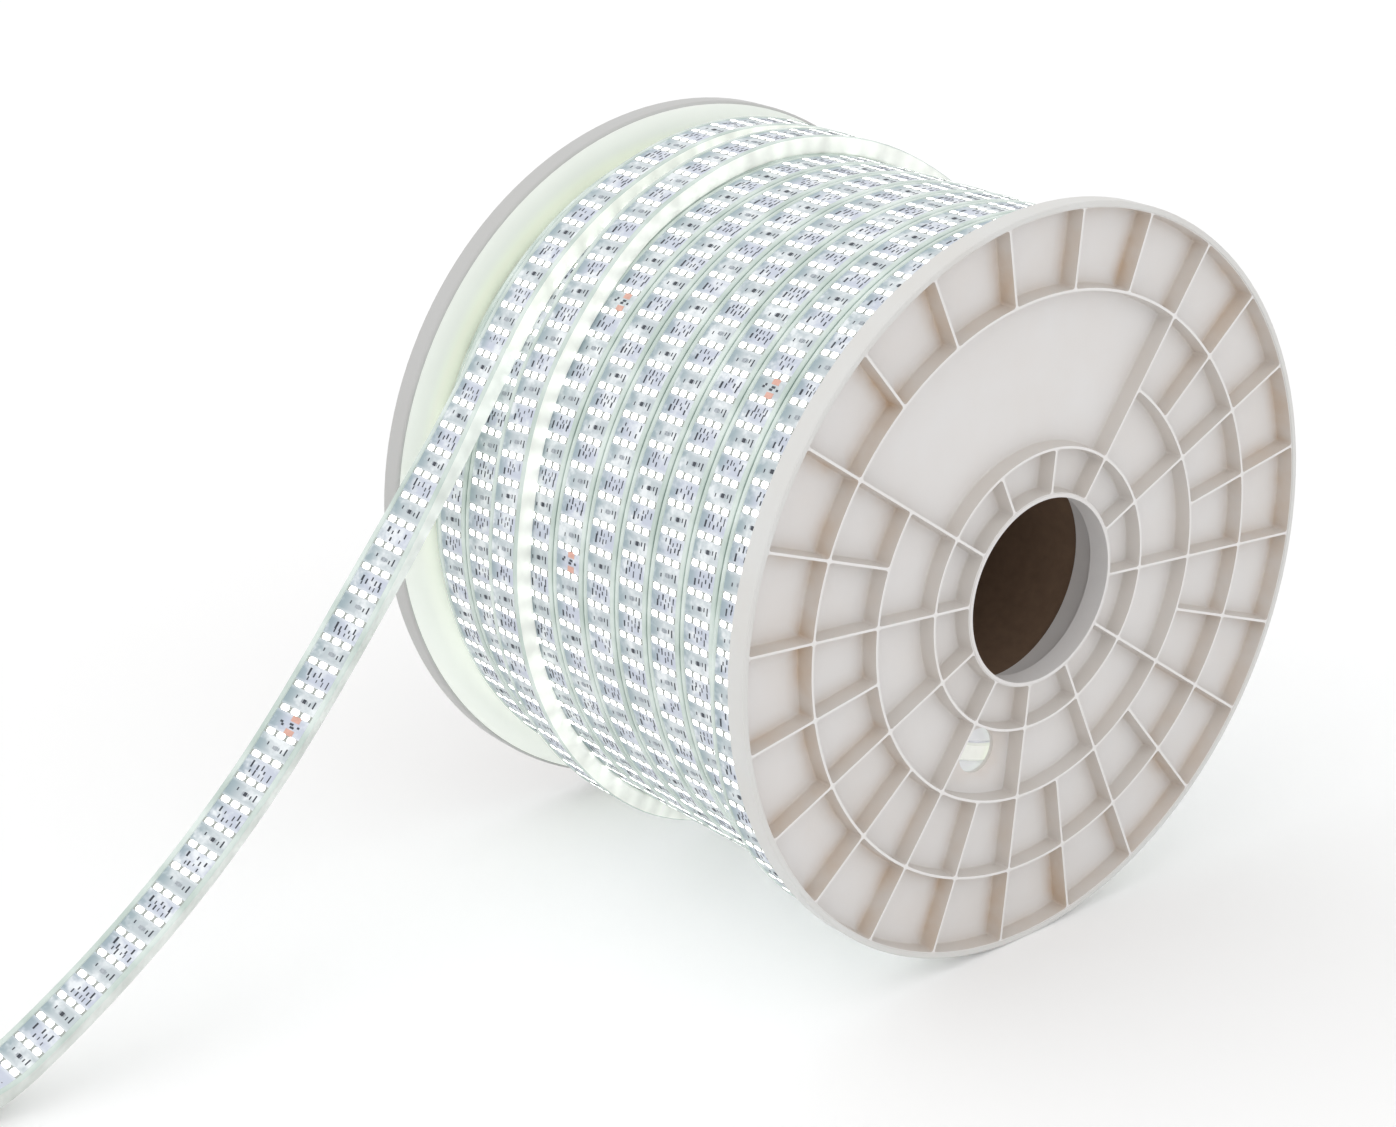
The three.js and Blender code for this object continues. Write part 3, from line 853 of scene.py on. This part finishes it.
# %% The end cap
CAP_POCKET = 9 * MM
CAP_WALL = 0.85 * MM
CAP_SHARP_DEGREES = 60
# Each ring is its distance from the lip in millimetres, and the share of the wall that it adds.
CAP_RINGS = [
    (0.6, 0.1), (0.0, 0.25), (0.0, 0.6), (0.5, 1.0), (9.0, 1.0), (12.2, 0.95), (13.4, 0.4), (14.0, -0.9),
]

# The cap has a faint painted glow.
cap_pvc = lit_pvc("milky_pvc_cap", "DCE6E2", "EDF4F0", 0.05)


def end_cap():
    window_edge = WINDOW_HALF + WINDOW_SLOPE
    outline = [(across, height) for across, height in strip_outline() if abs(across) > window_edge]
    count = len(outline)
    corners, faces = [], []
    end = tail_route.points[-1]
    for along, grow in CAP_RINGS:
        y = end.y + CAP_POCKET - along * MM
        wide = 1 + grow * CAP_WALL / (STRIP_WIDTH / 2)
        tall = 1 + grow * CAP_WALL / (STRIP_THICKNESS / 2)
        for across, height in outline:
            corners.append(Vector((end.x + across * wide, y, end.z + height * tall)))
    for i in range(len(CAP_RINGS) - 1):
        for j in range(count):
            k = (j + 1) % count
            faces.append((i * count + j, i * count + k, (i + 1) * count + k, (i + 1) * count + j))
    faces.append(tuple(range(count)))
    faces.append(tuple(reversed(range((len(CAP_RINGS) - 1) * count, len(CAP_RINGS) * count))))
    return make_object("end_cap", corners, faces, [cap_pvc], sharp_degrees=CAP_SHARP_DEGREES)


cap = end_cap()
belongs(cap, "cap_plastic", "strip_end_cap")

# %% [markdown]
# ## The wound strip
#
# The loose turn and the full layer are one strip. Its sides lie open as far as the loose turn goes,
# and in the full layer each turn shades the next.

# %% The wound strip's body, LEDs and parts
WOUND_SPACING = 7.5 * MM
WOUND_PADS = (263, 588, 681)

loose_length = wound_route.lengths[loose_steps]
wound_strip = sweep_strip("wound_strip", wound_route, WOUND_SPACING, lit_side, loose_length)
wound_leds = lay_leds("wound_leds", wound_route)
wound_parts = lay_parts("wound_parts", wound_route, 0, pads=WOUND_PADS)
belongs(wound_strip, "strip_jacket", "led_strip_winding")
belongs(wound_leds, "strip_jacket")
belongs(wound_parts, "strip_jacket")

# %% [markdown]
# ## The layers below
#
# Only the edges of the lower layers show: beside the last full layer at the far flange, and through the
# lead hole. They are one turned body with a rounded step for each layer, and the edges of a few layers
# lie a little deeper than the rest and are painted greyer, as painted shade.

# %% Lower layers
TURNED_SEGMENTS = 144
SUNK_LAYERS = (1, 3, 6, 9)
SUNK_BY = 0.9 * MM
LAYER_ROUND = 1.0 * MM
LAYER_SEAM = 0.1 * MM
INNERMOST_INSET = 2.5 * MM


def turned(name, profile, materials, slots=None):
    """Turns a closed outline of (radius, x) points round the axle."""
    corners, faces, face_slots = [], [], []
    count = len(profile)
    for i in range(TURNED_SEGMENTS):
        for radius, x in profile:
            corners.append(wound_point(360 * i / TURNED_SEGMENTS, x, radius))
    for i in range(TURNED_SEGMENTS):
        for j in range(count):
            k = (j + 1) % count
            m = (i + 1) % TURNED_SEGMENTS
            faces.append((i * count + j, i * count + k, m * count + k, m * count + j))
            face_slots.append(slots[j] if slots else 0)
    return make_object(name, corners, faces, materials, face_slots)


def lower_layers():
    side = INNER_FACE - SIDE_GAP
    inner = CORE_RADIUS + CORE_GAP
    right, right_slots = [], []
    for layer in range(LAYER_COUNT - 1):
        low = inner + layer * STRIP_THICKNESS
        high = low + STRIP_THICKNESS
        is_sunk = layer in SUNK_LAYERS
        face = side - SUNK_BY if is_sunk else side
        right += [(low + LAYER_SEAM, face - LAYER_ROUND), (low + LAYER_ROUND, face),
                  (high - LAYER_ROUND, face), (high - LAYER_SEAM, face - LAYER_ROUND)]
        right_slots += [int(is_sunk)] * 4
    left = [(radius, -x) for radius, x in reversed(right)]
    profile = [(inner, side - INNERMOST_INSET), *right, *left, (inner, -(side - INNERMOST_INSET))]
    slots = [0, *right_slots, *reversed(right_slots), 0]
    # Layer edges have a paler painted glow, and sunk ones are painted greyer, as shade.
    return turned("lower_layers", profile, [deep_side, sunk_shaded_side], slots)


layers = lower_layers()
belongs(layers, "strip_jacket")

# %% [markdown]
# At each flange the helix leaves a wedge of the next layer down in sight. One turn of strip with
# its LEDs lies there, close against the flange.

# %% The next layer's turn at each flange
def edge_turn(name, x):
    points, outwards = [], []
    for i in range(360 // STATION_STEP + 1):
        points.append(wound_point(STATION_STEP * i, x, LAYER_RADIUS - 1.5 * STRIP_THICKNESS))
        outwards.append(wound_outward(STATION_STEP * i))
    route = Route(points, outwards)
    belongs(sweep_strip(name + "_strip", route, WOUND_SPACING), "strip_jacket")
    belongs(lay_leds(name + "_leds", route), "strip_jacket")


edge_turn("far_edge_turn", -WALL_X)
edge_turn("near_edge_turn", WALL_X)

# %% [markdown]
# ## The core tube
#
# The card tube is a plain turned wall. Only its inside shows, through the hubs.

# %% The core tube
CORE_WALL = 5 * MM
CORE_EDGE = 0.4 * MM

core = turned("card_core", [
    (CORE_RADIUS - CORE_WALL, core_low[0]), (CORE_RADIUS - CORE_EDGE, core_low[0]),
    (CORE_RADIUS, core_low[0] + CORE_EDGE), (CORE_RADIUS, core_high[0] - CORE_EDGE),
    (CORE_RADIUS - CORE_EDGE, core_high[0]), (CORE_RADIUS - CORE_WALL, core_high[0]),
], [core_card])
belongs(core, "core_card", "core_tube")

# %% [markdown]
# ## The flange moulding
#
# Both flanges are one moulding: a thin web stiffened by ring walls and radial ribs, with a plain
# sector for a label, a hub collar, a lead hole and a spigot for the core. It could be joined from
# ribs by booleans and bevelled, but the joints would be rough. Here each pocket between the walls is
# drawn as a rounded outline that narrows towards its floor, and the flat top is what is left over.

# %% Sizes of the moulding
WEB = 1.8 * MM
RIM_WALL = 2.4 * MM
RIB_TOP = FLANGE_THICKNESS - 0.5 * MM
RINGS = [58 * MM, 88 * MM, 120.4 * MM]
WALL = 1.1 * MM
DRAFT = 0.4 * MM
TOP_ROUND = 0.12 * MM
FOOT_ROUND = 0.7 * MM
HOLE_FOOT = 0.35 * MM
POCKET_CORNER = 1.2 * MM
LEDGE = 0.3 * MM
BORE_RADIUS = 38 * MM
COLLAR_WALL = 1.6 * MM
SPIGOT_BORE = 44.2 * MM
SPIGOT_WALL = 2 * MM
SPIGOT_LENGTH = 13.6 * MM
RIB_COUNT = 24
RIB_PITCH = 360 / RIB_COUNT
FIRST_RIB = 5.2
PANEL_START = 20
PANEL_PITCHES = 6
HOLE_RADIUS, HOLE_DISTANCE, HOLE_ANGLE = 9.5 * MM, 69.1 * MM, 201.4
print("flange radius", round(FLANGE_RADIUS, 4), "ribs", RIB_COUNT)

# %% [markdown]
# A pocket runs between two rings and two ribs. Its outline is drawn for any inset, so the same
# function gives its rim, its foot and the lines on its floor.

# %% One pocket's outline
ARC_STEP = 2.5
CORNER_STOPS = (0.0, 0.3, 0.7, 1.0)


def plane_point(radius, degrees):
    angle = math.radians(degrees)
    return Vector((radius * math.sin(angle), radius * math.cos(angle)))


def rounded(before, tip, after):
    return [before.lerp(tip, t).lerp(tip.lerp(after, t), t) for t in CORNER_STOPS]


def pocket_outline(inner, outer, start, end, inset):
    near, far = inner + inset, outer - inset
    steps = max(2, round(abs(end - start) / ARC_STEP))

    def from_start(radius):
        return start + math.degrees(math.asin((WALL / 2 + inset) / radius))

    def from_end(radius):
        return end - math.degrees(math.asin((WALL / 2 + inset) / radius))

    def arc(radius, first, last):
        return [plane_point(radius, first + (last - first) * i / steps) for i in range(1, steps)]

    def turn(radius, tip_degrees, arc_degrees, rib_degrees, rib_radius, from_arc):
        tip = plane_point(radius, tip_degrees)
        on_arc = plane_point(radius, arc_degrees)
        on_rib = plane_point(rib_radius, rib_degrees)
        return rounded(on_arc, tip, on_rib) if from_arc else rounded(on_rib, tip, on_arc)

    turn_far, turn_near = math.degrees(POCKET_CORNER / far), math.degrees(POCKET_CORNER / near)
    far_start, far_end = from_start(far), from_end(far)
    near_start, near_end = from_start(near), from_end(near)
    side_far, side_near = far - POCKET_CORNER, near + POCKET_CORNER
    outline, in_corner = [], []
    for piece, dust in (
        (turn(far, far_start, far_start + turn_far, from_start(side_far), side_far, False), 1.0),
        (arc(far, far_start + turn_far, far_end - turn_far), 0.7),
        (turn(far, far_end, far_end - turn_far, from_end(side_far), side_far, True), 1.0),
        (turn(near, near_end, near_end - turn_near, from_end(side_near), side_near, False), 1.0),
        (arc(near, near_end - turn_near, near_start + turn_near), 0.7),
        (turn(near, near_start, near_start + turn_near, from_start(side_near), side_near, True), 1.0),
    ):
        outline += piece
        in_corner += [dust] * len(piece)
    return outline, in_corner


def shade_side(outline):
    """How much each corner's wall faces left, seen from outside, where dust and painted shade gather most."""
    weights = []
    for i, point in enumerate(outline):
        run = outline[(i + 1) % len(outline)] - outline[i - 1]
        inward = Vector((run.y, -run.x)).normalized()
        weights.append(min(1.0, max(0.0, 0.4 - 0.6 * inward.x)))
    return weights


# %% Where the pockets are
def pocket_list():
    collar = BORE_RADIUS + COLLAR_WALL + LEDGE
    rim = FLANGE_RADIUS - RIM_WALL - LEDGE
    bands = [(collar, RINGS[0] - WALL / 2), (RINGS[0] + WALL / 2, RINGS[1] - WALL / 2),
             (RINGS[1] + WALL / 2, RINGS[2] - WALL / 2), (RINGS[2] + WALL / 2, rim)]
    panel_end = PANEL_START + PANEL_PITCHES - RIB_COUNT
    pockets = []
    for rib in range(0, RIB_COUNT, 2):
        pockets.append((*bands[0], rib, rib + 2))
        if panel_end <= rib < PANEL_START:
            pockets.append((*bands[1], rib, rib + 2))
    for rib in range(RIB_COUNT):
        pockets.append((*bands[3], rib, rib + 1))
        if panel_end <= rib < PANEL_START:
            pockets.append((*bands[2], rib, rib + 1))
    pockets.append((bands[1][0], bands[2][1], PANEL_START, PANEL_START + PANEL_PITCHES))
    return [(near, far, FIRST_RIB + a * RIB_PITCH, FIRST_RIB + b * RIB_PITCH) for near, far, a, b in pockets]


print("pockets in a flange", len(pocket_list()))

# %% [markdown]
# The moulding's mesh is gathered from loops of points that are joined in pairs, and flat faces with
# holes in them are filled. Every point also carries a value for dust, painted shade and painted highlight,
# and how far it lies on a wall, which sets its painted wall shade.

# %% Loops, walls and flat faces
def circle(radius, segments=TURNED_SEGMENTS, centre=(0.0, 0.0)):
    return [Vector((centre[0] + radius * math.sin(math.tau * i / segments),
                    centre[1] + radius * math.cos(math.tau * i / segments))) for i in range(segments)]


class MouldingMesh:
    def __init__(self, side):
        self.side = side
        self.corners, self.dust, self.walls, self.faces, self.slots = [], [], [], [], []

    def add_loop(self, loop, height, dust=0.0, wall=0.0):
        first = len(self.corners)
        for i, (y, z) in enumerate(loop):
            self.corners.append((self.side * (INNER_FACE + height), self.side * y, AXLE + z))
            self.dust.append(dust[i] if isinstance(dust, list) else dust)
            self.walls.append(wall)
        return list(range(first, len(self.corners)))

    def join(self, lower, upper):
        for i in range(len(lower)):
            k = (i + 1) % len(lower)
            self.faces.append((lower[i], lower[k], upper[k], upper[i]))

    def join_all(self, rings):
        for lower, upper in zip(rings, rings[1:]):
            self.join(lower, upper)

    def fill(self, outer, holes, loops):
        flat = [[Vector((y, z, 0)) for y, z in loop] for loop in loops]
        index = [i for ring in (outer, *holes) for i in ring]
        for triangle in tessellate_polygon(flat):
            self.faces.append(tuple(index[i] for i in triangle))

    def finish_faces(self, slot):
        self.slots += [slot] * (len(self.faces) - len(self.slots))


# %% [markdown]
# A rounded edge is drawn with one point in its middle, which lies three tenths of its size from each side.
# Down a pocket's wall the stages go from the top's painted highlight to the foot's dust and painted shade,
# and on the floor these fade in two more. The pocket with the lead hole has a closer foot and a plain floor.

# %% Pockets in the moulding
MIDWAY = 0.3
TOP_HIGHLIGHT = -0.3
PANEL_DUST_AND_SHADE = 0.15
HOLE_SEGMENTS = 40
# Each stage is its inset, its height, its dust and painted shade, and how far it lies on the wall, which sets
# its painted wall shade.
TOP_STAGES = [
    (-TOP_ROUND, RIB_TOP, 0.0, 0.0),
    (-TOP_ROUND * MIDWAY, RIB_TOP - TOP_ROUND * MIDWAY, 0.0, 0.0),
    (0.0, RIB_TOP - TOP_ROUND, 0.5, 1.0),
]
FLOOR_STAGES = [
    (DRAFT, WEB + FOOT_ROUND, 0.8, 1.0),
    (DRAFT + FOOT_ROUND * MIDWAY, WEB + FOOT_ROUND * MIDWAY, 0.9, 0.8),
    (DRAFT + FOOT_ROUND, WEB, 0.6, 0.2),
    (DRAFT + 3.2 * MM, WEB, 0.25, 0.0),
    (DRAFT + 6.4 * MM, WEB, 0.05, 0.0),
]
HOLE_FLOOR_STAGES = [
    (DRAFT, WEB + HOLE_FOOT, 0.5, 1.0),
    (DRAFT + HOLE_FOOT, WEB, 0.3, 0.1),
]

hole_loop = circle(HOLE_RADIUS, HOLE_SEGMENTS, plane_point(HOLE_DISTANCE, HOLE_ANGLE))


def pocket_dust(near, start, end, chance):
    """Outer pockets get more dust and painted shade, no two alike, and the wide panel almost none."""
    if end - start > 2 * RIB_PITCH:
        return PANEL_DUST_AND_SHADE
    return min(1.0, (near / RINGS[2]) ** 2) * chance.uniform(0.6, 1.4)


def lay_pockets(mesh):
    """Adds every pocket, and returns their top rings and outlines and the lead hole's back ring."""
    top_rings, top_loops = [], []
    chance = random.Random(3)
    for near, far, start, end in pocket_list():
        has_hole = near < HOLE_DISTANCE < far and start < HOLE_ANGLE < end
        dustiness = pocket_dust(near, start, end, chance)
        rings, loops = [], []
        for inset, height, tint, wall in TOP_STAGES + (HOLE_FLOOR_STAGES if has_hole else FLOOR_STAGES):
            tint *= dustiness
            outline, in_corner = pocket_outline(near, far, start, end, inset)
            # Corners take dust and painted shade, most on walls that face left.
            dust = [value * weight * tint for value, weight in zip(in_corner, shade_side(outline))]
            # The top stages take the painted highlight.
            if height > RIB_TOP - TOP_ROUND:
                dust = [TOP_HIGHLIGHT] * len(outline)
            rings.append(mesh.add_loop(outline, height, dust, wall))
            loops.append(outline)
        top_rings.append(rings[0])
        top_loops.append(loops[0])
        mesh.join_all(rings)
        if has_hole:
            front_hole = mesh.add_loop(hole_loop, WEB, 0.3)
            mesh.fill(rings[-1], [front_hole], [loops[-1], hole_loop])
            back_hole = mesh.add_loop(hole_loop, 0)
            mesh.join(front_hole, back_hole)
        else:
            mesh.fill(rings[-1], [], [loops[-1]])
    return top_rings, top_loops, back_hole


# %% [markdown]
# The rim and the hub are turned profiles of radius and height. The rim stands half a millimetre proud
# of the ribs, and its edge towards the winding is rounded off further. The hub's collar runs into the
# spigot behind, so its profile starts behind and ends on the ribs.

# %% The rim's and the hub's profiles
RIM_EDGE = 0.6 * MM
LIP = 0.3 * MM
BACK_CHAMFER = 1.2 * MM
BACK_CHAMFER_RISE = 1.5 * MM
BACK_CHAMFER_MIDDLE = (0.3 * MM, 0.8 * MM)
rim_inner = FLANGE_RADIUS - RIM_WALL
collar_outer = BORE_RADIUS + COLLAR_WALL
spigot_outer = SPIGOT_BORE + SPIGOT_WALL
RIM_PROFILE = [
    (rim_inner, RIB_TOP),
    (rim_inner, FLANGE_THICKNESS - LIP),
    (rim_inner + LIP * MIDWAY, FLANGE_THICKNESS - LIP * MIDWAY),
    (rim_inner + LIP, FLANGE_THICKNESS),
    (FLANGE_RADIUS - RIM_EDGE, FLANGE_THICKNESS),
    (FLANGE_RADIUS - RIM_EDGE * MIDWAY, FLANGE_THICKNESS - RIM_EDGE * MIDWAY),
    (FLANGE_RADIUS, FLANGE_THICKNESS - RIM_EDGE),
    (FLANGE_RADIUS, BACK_CHAMFER_RISE),
    (FLANGE_RADIUS - BACK_CHAMFER_MIDDLE[0], BACK_CHAMFER_MIDDLE[1]),
    (FLANGE_RADIUS - BACK_CHAMFER, 0),
]
HUB_PROFILE = [
    (spigot_outer, 0),
    (spigot_outer, LIP - SPIGOT_LENGTH),
    (spigot_outer - LIP, -SPIGOT_LENGTH),
    (SPIGOT_BORE, -SPIGOT_LENGTH),
    (SPIGOT_BORE, 0),
    (BORE_RADIUS, 0),
    (BORE_RADIUS, FLANGE_THICKNESS - LIP),
    (BORE_RADIUS + LIP * MIDWAY, FLANGE_THICKNESS - LIP * MIDWAY),
    (BORE_RADIUS + LIP, FLANGE_THICKNESS),
    (collar_outer - LIP, FLANGE_THICKNESS),
    (collar_outer - LIP * MIDWAY, FLANGE_THICKNESS - LIP * MIDWAY),
    (collar_outer, FLANGE_THICKNESS - LIP),
    (collar_outer, RIB_TOP),
]
print("rim profile", len(RIM_PROFILE), "points, hub profile", len(HUB_PROFILE), "points")

# %% The whole moulding
OUTSIDE, INSIDE, RIM = 0, 1, 2
MOULDING_SHARP_DEGREES = 50


def turn_faces_out(piece):
    bpy.context.view_layer.objects.active = piece
    bpy.ops.object.select_all(action="DESELECT")
    piece.select_set(True)
    bpy.ops.object.mode_set(mode="EDIT")
    bpy.ops.mesh.select_all(action="SELECT")
    bpy.ops.mesh.normals_make_consistent(inside=False)
    bpy.ops.object.mode_set(mode="OBJECT")


def weigh_normals(piece):
    """Lets the large flat faces rule the shading, so that small roundings stay small."""
    modifier = piece.modifiers.new("weighted_normals", "WEIGHTED_NORMAL")
    modifier.keep_sharp = True
    modifier.weight = 100


def flange_moulding(name, side, edge_plastic):
    mesh = MouldingMesh(side)
    top_rings, top_loops, back_hole = lay_pockets(mesh)
    rim_rings = [mesh.add_loop(circle(radius), height) for radius, height in RIM_PROFILE]
    hub_rings = [mesh.add_loop(circle(radius), height) for radius, height in HUB_PROFILE]
    mesh.join_all(hub_rings)
    mesh.fill(rim_rings[0], [hub_rings[-1], *top_rings],
              [circle(rim_inner), circle(collar_outer), *top_loops])
    mesh.finish_faces(OUTSIDE)
    mesh.join_all(rim_rings)
    mesh.finish_faces(RIM)
    mesh.fill(rim_rings[-1], [hub_rings[0], back_hole],
              [circle(FLANGE_RADIUS - BACK_CHAMFER), circle(spigot_outer), hole_loop])
    mesh.finish_faces(INSIDE)
    finishes = [flange_plastic, glow_painted_inside, edge_plastic]
    piece = make_object(name, mesh.corners, mesh.faces, finishes, mesh.slots,
                        sharp_degrees=MOULDING_SHARP_DEGREES)
    for attribute, values in (("corner", mesh.dust), ("wall", mesh.walls)):
        piece.data.attributes.new(attribute, "FLOAT", "POINT").data.foreach_set("value", values)
    turn_faces_out(piece)
    weigh_normals(piece)
    return piece


near_flange = flange_moulding("near_flange_moulding", 1, rim_plastic)
far_flange = flange_moulding("far_flange_moulding", -1, far_rim_shade_plastic)
belongs(near_flange, "flange_plastic", "near_flange")
belongs(far_flange, "flange_plastic", "far_flange")

# %% [markdown]
# ## Studio
#
# The reel stands on a white floor inside a light tent, so the light comes from the whole sky, with
# broad soft patches overhead, in front of the ribbed flange and low on the free end's side. A narrower
# one, high on the left, draws the soft shadow on the floor. The floor and the sky are lifted to white
# for the camera and for reflections only, so the floor still takes the shadows.

# %% Floor
FLOOR_LIFT = 0.08
FLOOR_HALF = 6


def seen_directly(tree):
    """One where a camera ray or a reflection looks, and zero for the light on the object."""
    rays = add_node(tree, "ShaderNodeLightPath")
    return add_node(tree, "ShaderNodeMath", {"operation": "MAXIMUM"}, {
        0: rays.outputs["Is Camera Ray"], 1: rays.outputs["Is Glossy Ray"]}).outputs[0]


def white_floor():
    material, tree, shader = new_material("white_floor")
    output = tree.nodes["Material Output"]
    tree.nodes.remove(shader)
    paper = add_node(tree, "ShaderNodeBsdfDiffuse", inputs={"Color": linear("F3F3F3")})
    strength = add_node(tree, "ShaderNodeMath", {"operation": "MULTIPLY"}, {
        0: seen_directly(tree), 1: FLOOR_LIFT})
    lift = add_node(tree, "ShaderNodeEmission", inputs={
        "Color": linear("FFFFFF"), "Strength": strength.outputs[0]})
    both = add_node(tree, "ShaderNodeAddShader", inputs={0: paper.outputs[0], 1: lift.outputs[0]})
    tree.links.new(both.outputs[0], output.inputs["Surface"])
    return material


floor_corners = [(FLOOR_HALF * a, FLOOR_HALF * b, 0) for a, b in ((-1, -1), (1, -1), (1, 1), (-1, 1))]
floor = make_object("floor", floor_corners, [(0, 1, 2, 3)], [white_floor()])
print("floor", 2 * FLOOR_HALF, "m across")

# %% World
AMBIENT = 0.6
# Each patch is the direction it shines from, where its edge lies (1 is its middle) and its strength.
LIGHT_PATCHES = [
    ((0.1, 0.15, 1.0), 0.2, 0.15),
    ((0.85, 0.1, 0.4), 0.3, 0.4),
    ((0.1, -0.9, 0.4), 0.2, 0.3),
    ((-0.4, -0.35, 0.82), 0.62, 0.62),
]

world = bpy.data.worlds.new("studio")
world.use_nodes = True
bpy.context.scene.world = world
world_tree = world.node_tree
background = world_tree.nodes["Background"]
sky_direction = add_node(world_tree, "ShaderNodeTexCoord").outputs["Generated"]
light_level = AMBIENT
for direction, edge, strength in LIGHT_PATCHES:
    towards = add_node(world_tree, "ShaderNodeVectorMath", {"operation": "DOT_PRODUCT"}, {
        0: sky_direction, 1: Vector(direction).normalized()})
    patch = add_node(world_tree, "ShaderNodeMapRange", {"interpolation_type": "SMOOTHSTEP"}, {
        "Value": towards.outputs["Value"],
        "From Min": edge, "From Max": 1.0, "To Min": 0.0, "To Max": strength})
    light_level = add_node(world_tree, "ShaderNodeMath", {"operation": "ADD"}, {
        0: light_level, 1: patch.outputs[0]}).outputs[0]
level = add_node(world_tree, "ShaderNodeMix", {"data_type": "FLOAT"}, {
    0: seen_directly(world_tree), 2: light_level, 3: 1.0})
world_tree.links.new(level.outputs[0], background.inputs["Strength"])
background.inputs["Color"].default_value = linear("FFFFFF")
bpy.context.scene.view_settings.view_transform = "Standard"
print("patches of light", len(LIGHT_PATCHES))
